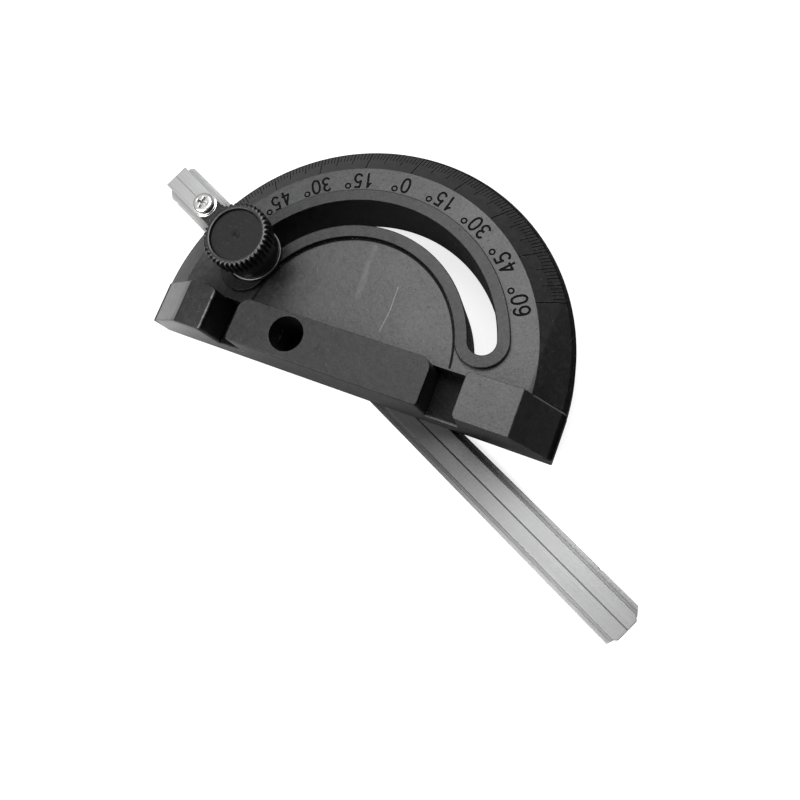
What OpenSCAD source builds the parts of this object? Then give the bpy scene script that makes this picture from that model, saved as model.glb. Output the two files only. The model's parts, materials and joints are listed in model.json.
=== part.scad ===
// Mitre gauge for a small band saw or sander: a protractor head that swivels on a
// T-section guide bar and is locked by a knurled knob running in an arc slot.
// Origin: on the pivot axis, at the underside of the guide bar. The bar runs along X,
// its short stub end (pointer and scale zero) towards -X. +Z is up.

/* [Guide bar] */
// Overall length of the guide bar
bar_len = 250; // [200:5:320]
// How far the stub end reaches behind the pivot axis
bar_stub = 119.5; // [112:0.5:140]
// Width of the lower flange, the part that fills the table groove
bar_w = 16; // [15:0.1:20]
// Width of the raised body on top of the flange
body_w = 11; // [10:0.1:13]
// Total height of the bar
bar_h = 6; // [5.5:0.1:8]
// Thickness of the flange
flange_t = 2.8; // [2.4:0.1:3.6]
// Depth of the scribed centre line
scribe_d = 0.3; // [0.1:0.05:0.5]

/* [Head] */
// Outer radius of the protractor head
head_r = 78.5; // [76:0.5:84]
// Radius where the flat number band ends and the graduated bevel begins
scale_r = 67.6; // [65:0.1:70]
// Drop of the graduated bevel at the outer edge
bevel_drop = 8; // [6:0.5:10]
// Width of the steep lip outside the bevel
lip_w = 1.1; // [0.6:0.1:1.5]
// Height of that lip
lip_h = 2.2; // [1.5:0.1:3]
// Height of the head from its underside to the number band
head_h = 21.5; // [19:0.5:25]
// Wall thickness of the moulding
wall = 3; // [2.4:0.1:3.4]
// Angle between the fence and the bar at rest
rest_angle = 25; // [20:1:30]

/* [Arc slot] */
// Radius of the middle of the slot
slot_r = 48.9; // [47:0.1:50]
// Width of the slot
slot_w = 9.8; // [8:0.1:10.5]
// Half of the slot's sweep, measured to the centre of its round ends
slot_half = 72; // [66:1:73]
// Height of the raised rim round the slot
rim_h = 2; // [1:0.1:2.5]
// Width of the raised rim
rim_w = 4.5; // [3.5:0.1:5]

/* [Fence] */
// Distance of the fence face in front of the pivot axis
fence_y = 13.7; // [13:0.1:18]
// Position of the back of the fence blocks
fence_back = 2.6; // [2:0.1:4]
// Height of the fence blocks above the number band
pad_h = 9.5; // [8:0.1:12]
// Depth of the pocket floors below the number band
pocket_d = 9; // [7:0.5:12]
// Radius of the socket for a hold-down rod
rod_r = 6.25; // [6:0.05:6.5]
// Depth of that socket
rod_depth = 24; // [18:1:25]

/* [Knob] */
// Outer radius over the ribs
knob_r = 12.2; // [11:0.1:13]
// Number of ribs round the knob
knob_ribs = 40; // [24:2:48]
// Height of the knob above its washer
knob_h = 17.2; // [16:0.1:20]
// Height of the ribbed collar
collar_h = 7.8; // [6:0.1:9]
// Radius of the knob's threaded stud
stud_r = 3; // [2.5:0.1:4]

/* [Fits] */
// Radial clearance of a turning fit
run = 0.05; // [0.03:0.01:0.09]
// Radial clearance of a fixed fit
snug = 0.02; // [0.01:0.01:0.05]

/* [Hidden] */
$fn = 96;
over = 1;                                // how far a cutter runs past a face
overlap = 0.01;                          // shared depth of joined parts

// levels
pivot_washer_t = 0.5;
head_z = bar_h + pivot_washer_t;         // underside of the head
band_z = head_z + head_h;                // number band and central disc
edge_z = band_z - bevel_drop;            // outer edge of the bevel
pocket_z = band_z - pocket_d;            // pocket floors
pad_z = band_z + pad_h;                  // top of the fence blocks

// plan
bar_x0 = -bar_stub;
bar_x1 = bar_len - bar_stub;
end_x = head_r + lip_w;                  // ends of the fence, and outer wall of the plate
slot_in = slot_r - slot_w / 2;
slot_out = slot_r + slot_w / 2;

// ends of the fence blocks, along the fence
left_x1 = -59.6;
left_x2 = -48.9;
main_x1 = -38.2;
main_x2 = 34.9;
right_x1 = 46.8;
right_x2 = 66;

// hold-down rod socket and its set screw
rod_x = -17;
rod_y = -5;
set_z = band_z + 1;                      // axis of the set screw
set_r = 2.5;
set_insert_r = 3.5;

// pivot
pivot_hole_r = 3.95;
shank_r = pivot_hole_r - run;
thread_r = 3;
insert_r = 4.6;

// pointer
screw_x = -96.6;
screw_r = 2.5;
pointer_hole_r = 2.7;                    // in the pointer and its washer
foot_t = 1.2;
foot_z = bar_h + foot_t;                 // top of the pointer's foot
pointer_washer_t = 0.8;

// knob
knob_x = -slot_r;                        // knob stud, on the bar's centre line
washer_z = band_z + rim_h + 0.05;        // underside of the knob washer
washer_t = 1.5;
knob_z = washer_z + washer_t + 0.02;
stud_z = 1.6;                            // lower end of the stud
stud_depth = 11;                         // reach of the stud into the knob
cap_r = 9.6;
cap_z = knob_h - 2.2;                    // floor of the cap recess, above knob_z
gate_z = knob_h - 1.1;                   // foot of the ring on the cap

module head_frame() rotate([0, 0, rest_angle]) children();

// upright cylinder standing at height z
module post(z, radius, height, x = 0, y = 0)
    translate([x, y, z]) cylinder(r = radius, h = height);

// solid between y1 and y2 from a side view drawn in X and Z
module side_extrude(y1, y2)
    translate([0, y2, 0]) rotate([90, 0, 0]) linear_extrude(y2 - y1) children();

// ---------- guide bar ----------
// plan outlines [x, y], with the corner cuts of each end
module bar_flange_plan() polygon([
    [bar_x0 + 1.6, bar_w / 2],
    [bar_x0, bar_w / 2 - 1.4],
    [bar_x0, -bar_w / 2 + 3.2],
    [bar_x0 + 4.6, -bar_w / 2],
    [bar_x1 - 1.4, -bar_w / 2],
    [bar_x1 - 0.6, -bar_w / 2 + 2.6],
    [bar_x1 - 0.6, bar_w / 2 - 2.6],
    [bar_x1 - 2.6, bar_w / 2]]);

module bar_body_plan() polygon([
    [bar_x0, body_w / 2],
    [bar_x0, -body_w / 2],
    [bar_x1 - 1, -body_w / 2],
    [bar_x1, -body_w / 2 + 1],
    [bar_x1, body_w / 2 - 1.5],
    [bar_x1 - 1.5, body_w / 2]]);

module guide_bar() color("silver") {
    scribe_w = 0.6;
    // [x, radius] of the holes for the pivot screw, knob stud and pointer screw
    holes = [[0, pivot_hole_r], [knob_x, stud_r + run], [screw_x, screw_r + snug]];
    difference() {
        union() {
            linear_extrude(flange_t) bar_flange_plan();
            linear_extrude(bar_h) bar_body_plan();
        }
        // scribed centre line
        translate([bar_x0 - over, -scribe_w / 2, bar_h - scribe_d])
            cube([bar_len + 2 * over, scribe_w, 1]);
        for (hole = holes) post(-over, hole[1], bar_h + 2 * over, x = hole[0]);
        // countersink of the pivot hole, from below
        rotate_extrude() polygon([[0, -0.5], [7.25, -0.5], [pivot_hole_r, 2.8], [0, 2.8]]);
    }
}

// ---------- protractor head, drawn with the fence along X and its face towards -Y ----------
module arc_slot(r1, r2, z1, z2) {
    end_r = (r2 - r1) / 2 + 0.03;        // slightly proud of the arc
    rotate([0, 0, 90 - slot_half]) rotate_extrude(angle = 2 * slot_half)
        translate([r1, z1]) square([r2 - r1, z2 - z1]);
    for (a = [-slot_half, slot_half])
        post(z1, end_r, z2 - z1, x = slot_r * sin(a), y = slot_r * cos(a));
}

// fence block with rounded vertical corners
module fence_block(x1, x2, front_r, back_r) {
    depth = fence_y + fence_back;
    height = pocket_d + pad_h;
    translate([x1, -fence_y + front_r, pocket_z])
        cube([x2 - x1, depth - front_r - back_r, height]);
    translate([x1 + front_r, -fence_y, pocket_z])
        cube([x2 - x1 - 2 * front_r, front_r + overlap, height]);
    translate([x1 + back_r, fence_back - back_r - overlap, pocket_z])
        cube([x2 - x1 - 2 * back_r, back_r + overlap, height]);
    for (x = [x1 + front_r, x2 - front_r])
        post(pocket_z, front_r, height, x = x, y = -fence_y + front_r);
    for (x = [x1 + back_r, x2 - back_r])
        post(pocket_z, back_r, height, x = x, y = fence_back - back_r);
}

// side view of the fence wall: sloped ends, an upright strip at the foot of each slope's
// top, and the pocket floors as its top in between
module fence_profile() {
    strip_w = 4;
    // the left slope runs from the left block through the edge of the bevel
    left_slope = (pad_h + bevel_drop) / (head_r + left_x1);
    polygon([
        [-end_x, head_z],
        [end_x, head_z],
        [end_x, edge_z - lip_h],
        [head_r, edge_z],
        [right_x2, pad_z],
        [right_x2 - strip_w, pad_z],
        [right_x2 - strip_w, pocket_z],
        [left_x1 + strip_w, pocket_z],
        [left_x1 + strip_w, pad_z],
        [left_x1, pad_z],
        [-end_x, pad_z - (end_x + left_x1) * left_slope]]);
}

module head_shell() {
    // half-round plate with the graduated bevel
    rotate_extrude(angle = 180) polygon([
        [0, head_z], [end_x, head_z], [end_x, edge_z - lip_h],
        [head_r, edge_z], [scale_r, band_z], [0, band_z]]);
    side_extrude(-fence_y, fence_back) fence_profile();
    fence_block(main_x1, main_x2, front_r = 0.8, back_r = 4);
    fence_block(right_x1, right_x2, front_r = 2, back_r = 2);
    fence_block(left_x1, left_x2, front_r = 0.8, back_r = 2);
    // raised rim round the slot
    difference() {
        arc_slot(slot_in - rim_w, slot_out + rim_w, band_z - over, band_z + rim_h + over);
        translate([-100, -100, band_z + rim_h]) cube([200, 200, 5]);
    }
}

// ring of equal sectors turned from a child profile
module sectors(count, start, pitch, sweep)
    for (i = [0:count - 1])
        rotate([0, 0, start + i * pitch]) rotate_extrude(angle = sweep) children();

// cavities under the plate, outside and inside the slot
module plate_cavities() {
    roof_z = band_z - wall;
    outer_r = head_r - wall;
    hub_r = 12;
    sectors(count = 6, start = 9, pitch = 27.2, sweep = 25) polygon([
        [slot_out + wall, head_z - over], [outer_r, head_z - over],
        [outer_r, edge_z - wall - 0.4], [scale_r - 1.5, roof_z], [slot_out + wall, roof_z]]);
    sectors(count = 4, start = 20, pitch = 35.6, sweep = 33) polygon([
        [hub_r, head_z - over], [slot_in - wall, head_z - over],
        [slot_in - wall, roof_z], [hub_r, roof_z]]);
}

// long cavity behind the fence face, rising into the main and right blocks
module fence_cavity() {
    rib_t = 2.5;
    low_z = head_z - 2;                  // foot of the ribs and bosses left standing
    tall = 60;
    // x1, x2, height of the outer surface above the number band
    boxes = [
        [-head_r + wall, head_r - wall, -pocket_d],
        [rod_x, main_x2 - wall, pad_h],
        [right_x1 + wall, right_x2 - wall, pad_h]];
    difference() {
        for (box = boxes) translate([box[0], -fence_y + wall, head_z - over])
            cube([box[1] - box[0], fence_y - wall - 0.4, head_h + box[2] - wall + over]);
        post(low_z, 10, tall);
        post(low_z, rod_r + 3, tall, x = rod_x, y = rod_y);
        for (x = [-66, -43.5, 21, 41, 70])
            translate([x - rib_t / 2, -30, low_z]) cube([rib_t, 60, tall]);
    }
}

// frame of the set screw: Z runs along the fence, towards the rod socket
module set_screw_frame() translate([0, rod_y, set_z]) rotate([0, 90, 0]) children();

module protractor_head() color("dimgray") head_frame() difference() {
    head_shell();
    plate_cavities();
    fence_cavity();
    arc_slot(slot_in, slot_out, head_z - 2, band_z + 10);
    // pockets beside the main block, open at the front
    for (pocket = [[left_x2, main_x1], [main_x2, right_x1]])
        translate([pocket[0], -fence_y - over, pocket_z])
            cube([pocket[1] - pocket[0], fence_y + over + fence_back, 40]);
    // socket for the hold-down rod
    post(pad_z - rod_depth, rod_r, rod_depth + 5, x = rod_x, y = rod_y);
    // set screw hole and insert seat, from the left end of the main block
    set_screw_frame() {
        post(main_x1 - over, 2.6, rod_x - main_x1 + over);
        post(main_x1 - over, set_insert_r, 7 + over);
    }
    // blind hole for the pivot insert, from below
    post(head_z - over, insert_r, 16 + over);
}

// ---------- pivot ----------
module pivot_screw() color("gainsboro") difference() {
    // half profile [radius, z]: countersunk head, shank, thread with a chamfered tip
    rotate_extrude() polygon([
        [0, 0.2], [6.2, 0.2], [6.2, 0.45],
        [shank_r, 2.75], [shank_r, head_z - 0.05],
        [thread_r, head_z + 0.45], [thread_r, head_z + 13.6],
        [thread_r - 0.6, head_z + 14.2], [0, head_z + 14.2]]);
    // hexagon socket
    post(-over, 2.3, 2.6 + over, $fn = 6);
}

module pivot_insert() color("goldenrod") difference() {
    post(head_z + 0.5, insert_r - snug, 15.4);
    post(head_z - over, thread_r + snug, 30);
}

module pivot_washer() color("whitesmoke") difference() {
    post(bar_h, 9, pivot_washer_t);
    post(bar_h - over, shank_r + 0.15, 3);
}

// ---------- pointer ----------
module pointer() color("#262626") {
    half_w = 4.9;
    tip_half_w = 0.8;
    taper_x = -79;                       // where the finger starts to narrow
    tip_x = -69;
    riser_x1 = -82.4;
    riser_x2 = -80.9;
    block_z = bar_h + 2.8;
    difference() {
        intersection() {
            // side view: foot, thick block, riser and the finger lying along the bevel
            side_extrude(-5, 5) polygon([
                [screw_x - 5, bar_h], [riser_x2, bar_h],
                [riser_x2, edge_z - 0.6], [-70, edge_z + 7.3],
                [-70.4, edge_z + 8.4], [riser_x1, edge_z - 0.1],
                [riser_x1, block_z], [screw_x, block_z],
                [screw_x, foot_z], [screw_x - 5, foot_z]]);
            // plan: round foot, straight sides, tapered finger
            union() {
                linear_extrude(60) polygon([
                    [screw_x, -half_w], [taper_x, -half_w], [tip_x, -tip_half_w],
                    [tip_x, tip_half_w], [taper_x, half_w], [screw_x, half_w]]);
                post(0, half_w, 60, x = screw_x);
            }
        }
        // recess that clears the screw head and its washer
        post(foot_z, 5.9, 20, x = screw_x);
        post(0, pointer_hole_r, 20, x = screw_x);
    }
}

module pointer_washer() color("lightgray") difference() {
    post(foot_z, 5.4, pointer_washer_t, x = screw_x);
    post(0, pointer_hole_r, 20, x = screw_x);
}

module pointer_screw() color("whitesmoke") {
    seat_z = foot_z + pointer_washer_t;  // underside of the screw head
    round_r = 1.6;                       // rounding of the head's upper edge
    translate([screw_x, 0, 0]) difference() {
        union() {
            post(0.4, screw_r, bar_h + 2);
            // low domed pan head
            rotate_extrude() polygon(concat(
                [[0, seat_z], [4.5, seat_z], [4.8, seat_z + 0.4]],
                [for (a = [0:9:90]) [3.2 + round_r * cos(a), seat_z + 1.2 + round_r * sin(a)]],
                [[0, seat_z + 2.8]]));
        }
        // cross recess
        for (a = [20, 110]) translate([0, 0, seat_z + 3]) rotate([0, 0, a])
            side_extrude(-0.6, 0.6) polygon([
                [-2.7, 1], [-2.7, -0.4], [-0.9, -2.6], [0.9, -2.6], [2.7, -0.4], [2.7, 1]]);
    }
}

// ---------- clamping knob ----------
module knob_frame() translate([knob_x, 0, knob_z]) children();

module knob_body() color("#161616") {
    collar_z = knob_h - collar_h;
    collar_r = knob_r - 0.9;             // collar between the ribs
    rib_w = 1;
    rib_reach = 2;                       // radial length of a rib
    rib_top = knob_h - 0.1;
    knob_frame() difference() {
        union() {
            // half profile [radius, z]: foot, waist, collar
            rotate_extrude() polygon([
                [0, 0], [9.6, 0], [10.2, 0.5], [10.2, 2.2], [9.7, 3],
                [9.9, collar_z - 0.8], [10.9, collar_z], [collar_r, collar_z + 0.4],
                [collar_r, knob_h - 1.6], [knob_r - 1.7, knob_h], [0, knob_h]]);
            // ribs: straight bars round the collar, bevelled at both ends
            intersection() {
                for (i = [0:knob_ribs - 1]) rotate([0, 0, i * 360 / knob_ribs])
                    translate([knob_r - rib_reach, -rib_w / 2, collar_z])
                        cube([rib_reach, rib_w, collar_h]);
                rotate_extrude() polygon([
                    [0, collar_z], [knob_r - 0.7, collar_z], [knob_r, collar_z + 0.7],
                    [knob_r, knob_h - 1.4], [knob_r - 1.4, rib_top], [0, rib_top]]);
            }
        }
        // shallow recess in the top, for the cap
        post(cap_z, cap_r, 5);
        // hole for the stud
        post(-over, stud_r + snug, stud_depth + over);
    }
}

module knob_cap() color("#2b2b2b") knob_frame() difference() {
    union() {
        post(cap_z, cap_r - snug, 1.2);
        // small moulding gate ring in the middle
        post(gate_z, 1.3, 0.35);
    }
    post(gate_z, 0.7, 3);
}

module knob_stud() color("gainsboro")
    post(stud_z, stud_r, knob_z + stud_depth - stud_z, x = knob_x);

module knob_washer() color("darkgray") {
    bore_r = stud_r + 0.25;
    rim_r = 10.8;
    bevel = 0.3;
    translate([knob_x, 0, washer_z]) rotate_extrude() polygon([
        [bore_r, 0], [rim_r - bevel, 0], [rim_r, bevel],
        [rim_r, washer_t - bevel], [rim_r - bevel, washer_t], [bore_r, washer_t]]);
}

// ---------- clamp for the hold-down rod, reached through the left pocket ----------
module rod_set_screw() color("#303030") head_frame() set_screw_frame() difference() {
    post(main_x1 + 1.2, set_r - snug, 13);
    // hexagon socket
    translate([0, 0, main_x1]) rotate([0, 0, 30]) cylinder(r = 1.45, h = 3.7, $fn = 6);
}

module set_screw_insert() color("goldenrod") head_frame() set_screw_frame() difference() {
    post(main_x1 + 0.2, set_insert_r - snug, 6.6);
    post(main_x1 - over, set_r, 12);
}

guide_bar();
protractor_head();
pivot_screw();
pivot_insert();
pivot_washer();
pointer();
pointer_washer();
pointer_screw();
knob_body();
knob_cap();
knob_stud();
knob_washer();
rod_set_screw();
set_screw_insert();
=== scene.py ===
import json
import math
import random

import bmesh
import bpy
from mathutils import Matrix, Vector


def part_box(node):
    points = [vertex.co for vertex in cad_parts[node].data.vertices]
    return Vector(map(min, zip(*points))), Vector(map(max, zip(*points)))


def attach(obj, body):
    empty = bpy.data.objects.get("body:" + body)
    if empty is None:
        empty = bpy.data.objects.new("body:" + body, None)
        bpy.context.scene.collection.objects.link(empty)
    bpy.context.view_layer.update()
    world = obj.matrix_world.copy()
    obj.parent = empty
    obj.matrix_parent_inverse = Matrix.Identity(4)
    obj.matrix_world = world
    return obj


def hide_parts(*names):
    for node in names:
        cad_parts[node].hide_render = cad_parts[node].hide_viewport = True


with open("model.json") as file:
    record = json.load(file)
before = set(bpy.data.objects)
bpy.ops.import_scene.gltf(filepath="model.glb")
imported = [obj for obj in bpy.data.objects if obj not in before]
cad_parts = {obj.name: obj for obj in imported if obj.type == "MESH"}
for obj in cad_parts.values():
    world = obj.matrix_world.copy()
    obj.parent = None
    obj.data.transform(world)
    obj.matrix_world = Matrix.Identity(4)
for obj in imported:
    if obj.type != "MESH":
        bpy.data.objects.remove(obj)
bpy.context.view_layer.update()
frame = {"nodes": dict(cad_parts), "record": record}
scene = bpy.context.scene
S = 0.001
random.seed(7)

# ------------------------------------------------------------------ places, from the frame
mounts = {m["name"]: m for m in frame["record"]["mounts"]}
fence_n = mounts["fence_face"]["axis"]
REST = math.atan2(fence_n[0], -fence_n[1])          # the head's turn in the rest pose
HEAD = Matrix.Rotation(REST, 4, "Z")                # head frame: fence along X


def box_mm(node):
    lo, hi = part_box(node)
    return lo / S, hi / S


head_lo, head_hi = box_mm("protractor_head")
bar_lo, bar_hi = box_mm("guide_bar")
wash_lo, wash_hi = box_mm("knob_washer")
kb_lo, kb_hi = box_mm("knob_body")
ps_lo, ps_hi = box_mm("pointer_screw")
pt_lo, pt_hi = box_mm("pointer")
Z0 = head_lo.z                                      # underside of the head
ZP = head_hi.z                                      # top of the fence blocks
ZT = ZP - 9.5                                       # number band and disc
ZO = ZT - 8.0                                       # outer edge of the bevel
ZF = ZT - 9.0                                       # pocket floors
RIM = 2.0
FY = (mounts["fence_face"]["pos_m"][0] * fence_n[0] + mounts["fence_face"]["pos_m"][1] * fence_n[1]) / S   # fence face is at y = -FY
FB = 2.6                                            # back of the fence blocks
HR, SR = 78.5, 67.6                                 # bevel's outer and inner radius
EX, LH = HR + 1.1, 2.2                              # outer wall, and height of the steep lip outside the bevel
SLOT, SLW, SLH = 48.9, 4.9, 72.0                    # slot radius, half width, half sweep
KX = (kb_lo.x + kb_hi.x) / 2                        # knob's axis
SX = (ps_lo.x + ps_hi.x) / 2                        # pointer screw's axis
rod = HEAD.inverted() @ Vector(mounts["rod_socket"]["pos_m"])
ROD = (rod.x / S, rod.y / S, mounts["rod_socket"]["dims"]["r_mm"], mounts["rod_socket"]["dims"]["length_mm"])


# ------------------------------------------------------------------ mesh helpers (millimetres)
def obj_from_bm(bm, name, matrix=None):
    me = bpy.data.meshes.new(name)
    if matrix is not None:
        bm.transform(matrix)
    bmesh.ops.recalc_face_normals(bm, faces=bm.faces)
    if bm.calc_volume(signed=True) < 0:
        bmesh.ops.reverse_faces(bm, faces=bm.faces)
    bm.to_mesh(me)
    bm.free()
    o = bpy.data.objects.new(name, me)
    scene.collection.objects.link(o)
    return o


def loft(loops, cap=True, close=False):
    """A skin through loops of equal length; capped at both ends, or closed on itself."""
    bm = bmesh.new()
    rows = [[bm.verts.new(p) for p in loop] for loop in loops]
    n = len(rows[0])
    k = len(rows)
    for j in range(k if close else k - 1):
        a, b = rows[j], rows[(j + 1) % k]
        for i in range(n):
            bm.faces.new((a[i], a[(i + 1) % n], b[(i + 1) % n], b[i]))
    if cap and not close:
        bm.faces.new(rows[0][::-1])
        bm.faces.new(rows[-1])
    bmesh.ops.recalc_face_normals(bm, faces=bm.faces)
    return bm


def prism(pts, z1, z2):
    return loft([[(x, y, z1) for x, y in pts], [(x, y, z2) for x, y in pts]])


def prism_y(pts, y1, y2):
    """Profile in x and z, extruded along y."""
    return loft([[(x, y1, z) for x, z in pts], [(x, y2, z) for x, z in pts]])


def boxm(x1, x2, y1, y2, z1, z2):
    return prism([(x1, y1), (x2, y1), (x2, y2), (x1, y2)], z1, z2)


def circle(cx, cy, r, n):
    return [(cx + r * math.cos(2 * math.pi * i / n), cy + r * math.sin(2 * math.pi * i / n)) for i in range(n)]


def lathe(profile, cx=0.0, cy=0.0, n=96):
    """Closed profile of (r, z), all r > 0, turned fully about a vertical axis."""
    loops = []
    for i in range(n):
        a = 2 * math.pi * i / n
        loops.append([(cx + r * math.cos(a), cy + r * math.sin(a), z) for r, z in profile])
    return loft(loops, close=True)


def lathe_solid(profile, cx=0.0, cy=0.0, n=96):
    """Open profile of (r, z), r > 0, whose ends are capped by discs."""
    return loft([[(x, y, z) for x, y in circle(cx, cy, r, n)] for r, z in profile])


def sector(profile, a1, a2, n):
    """Profile of (r, z) turned from a1 to a2 degrees, with flat ends."""
    loops = []
    for i in range(n + 1):
        a = math.radians(a1 + (a2 - a1) * i / n)
        loops.append([(r * math.cos(a), r * math.sin(a), z) for r, z in profile])
    return loft(loops)


def racetrack(w, n_arc=144, n_cap=18):
    """The arc slot's outline, offset by w from its centre line."""
    pts = []
    h = SLH
    for i in range(n_arc + 1):
        a = math.radians(-h + 2 * h * i / n_arc)
        pts.append(((SLOT + w) * math.sin(a), (SLOT + w) * math.cos(a)))
    for side, (c0, s0) in ((1, (math.radians(h), 1)), (-1, (math.radians(-h), -1))):
        cx, cy = SLOT * math.sin(c0), SLOT * math.cos(c0)
        if side == 1:
            for i in range(1, n_cap):
                b = c0 + math.pi * i / n_cap
                pts.append((cx + w * math.sin(b), cy + w * math.cos(b)))
            for i in range(n_arc + 1):
                a = math.radians(h - 2 * h * i / n_arc)
                pts.append(((SLOT - w) * math.sin(a), (SLOT - w) * math.cos(a)))
        else:
            for i in range(1, n_cap):
                b = c0 + math.pi + math.pi * i / n_cap
                pts.append((cx + w * math.sin(b), cy + w * math.cos(b)))
    return pts


def rounded(profile, radii, n=4, closed=True):
    """Rounds the corners of a polygon; radii is one radius per corner, 0 keeps it sharp."""
    out = []
    m = len(profile)
    for i, (p, r) in enumerate(zip(profile, radii)):
        p = Vector(p)
        a = Vector(profile[i - 1]) - p
        b = Vector(profile[(i + 1) % m]) - p
        if r <= 0 or (not closed and i in (0, m - 1)):
            out.append(tuple(p))
            continue
        ang = a.angle(b)
        t = r / math.tan(ang / 2)
        t = min(t, a.length * 0.49, b.length * 0.49)
        rr = t * math.tan(ang / 2)
        p1, p2 = p + a.normalized() * t, p + b.normalized() * t
        c = p + (a.normalized() + b.normalized()).normalized() * (rr / math.sin(ang / 2))
        v1, v2 = p1 - c, p2 - c
        total = v1.angle(v2)
        sign = 1 if v1.x * v2.y - v1.y * v2.x > 0 else -1
        for k in range(n + 1):
            th = sign * total * k / n
            out.append((c.x + v1.x * math.cos(th) - v1.y * math.sin(th), c.y + v1.x * math.sin(th) + v1.y * math.cos(th)))
    return out


def select_edges(bm, test, angle=25, convex=True):
    out = []
    for e in bm.edges:
        if len(e.link_faces) != 2:
            continue
        if e.calc_face_angle(0) < math.radians(angle):
            continue
        if convex and not e.is_convex:
            continue
        if test(e.verts[0].co, e.verts[1].co):
            out.append(e)
    return out


def bevel(bm, edges, r, n=3):
    if edges:
        bmesh.ops.bevel(bm, geom=edges, offset=r, offset_type="OFFSET", segments=n, profile=0.5, affect="EDGES", clamp_overlap=False)
        bmesh.ops.recalc_face_normals(bm, faces=bm.faces)


def boolean(target, cutter, op="DIFFERENCE", keep=False, transfer=False):
    bpy.context.view_layer.update()
    m = target.modifiers.new("b", "BOOLEAN")
    m.operation = op
    m.solver = "EXACT"
    m.object = cutter
    if transfer:
        m.material_mode = "TRANSFER"
    dg = bpy.context.evaluated_depsgraph_get()
    dg.update()
    me = bpy.data.meshes.new_from_object(target.evaluated_get(dg))
    target.modifiers.remove(m)
    old = target.data
    target.data = me
    bpy.data.meshes.remove(old)
    if not keep:
        bpy.data.objects.remove(cutter)
    return target


def tidy(o, merge=0.002, dissolve=0.05):
    bm = bmesh.new()
    bm.from_mesh(o.data)
    bmesh.ops.remove_doubles(bm, verts=bm.verts, dist=merge)
    bmesh.ops.dissolve_degenerate(bm, dist=merge / 2, edges=bm.edges)
    if dissolve:
        bmesh.ops.dissolve_limit(bm, angle_limit=math.radians(dissolve), verts=bm.verts, edges=bm.edges, delimit={"MATERIAL"})
    bm.to_mesh(o.data)
    bm.free()
    return o


def shade(o, angle=32):
    """Smooth shading that stays crisp over sharp edges and flat on large faces."""
    bm = bmesh.new()
    bm.from_mesh(o.data)
    for f in bm.faces:
        f.smooth = True
    for e in bm.edges:
        e.smooth = not (len(e.link_faces) == 2 and e.calc_face_angle(0) > math.radians(angle))
    bm.to_mesh(o.data)
    bm.free()
    w = o.modifiers.new("normals", "WEIGHTED_NORMAL")
    w.keep_sharp = True
    w.weight = 80
    return o


def place(o, matrix=None):
    """Millimetres to metres, and into the row frame."""
    m = Matrix.Scale(S, 4)
    if matrix is not None:
        m = matrix @ m
    o.data.transform(m)
    o.data.update()
    return o


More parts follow.
